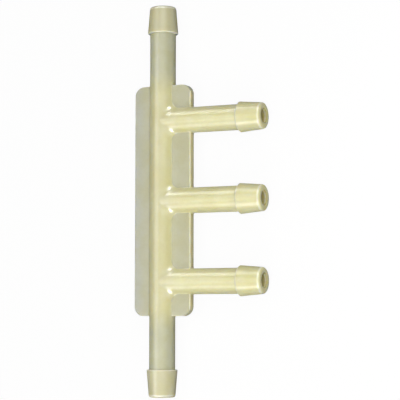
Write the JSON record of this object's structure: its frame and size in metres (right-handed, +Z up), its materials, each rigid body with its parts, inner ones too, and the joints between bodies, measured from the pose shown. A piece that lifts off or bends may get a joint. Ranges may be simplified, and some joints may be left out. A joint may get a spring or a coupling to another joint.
{
  "type": "five-way connector",
  "caption": "Moulded hose manifold: a straight run with a barbed tail at each end, barbed side branches at an even pitch, and a flat web in the parting plane.",
  "frame": {"origin": "where the axis of the run crosses the axis of the middle branch", "axes": "+Y along the run, +X along the branches towards their tails, +Z up, square to the flat web, with the connector lying flat on its barbs"},
  "size_m": [0.0349, 0.0974, 0.0076],
  "materials": {
    "natural_nylon": "soft gloss from a polished mould, milky and slightly translucent"
  },
  "bodies": {
    "root": {"connector_body": "natural_nylon"}
  },
  "joints": []
}
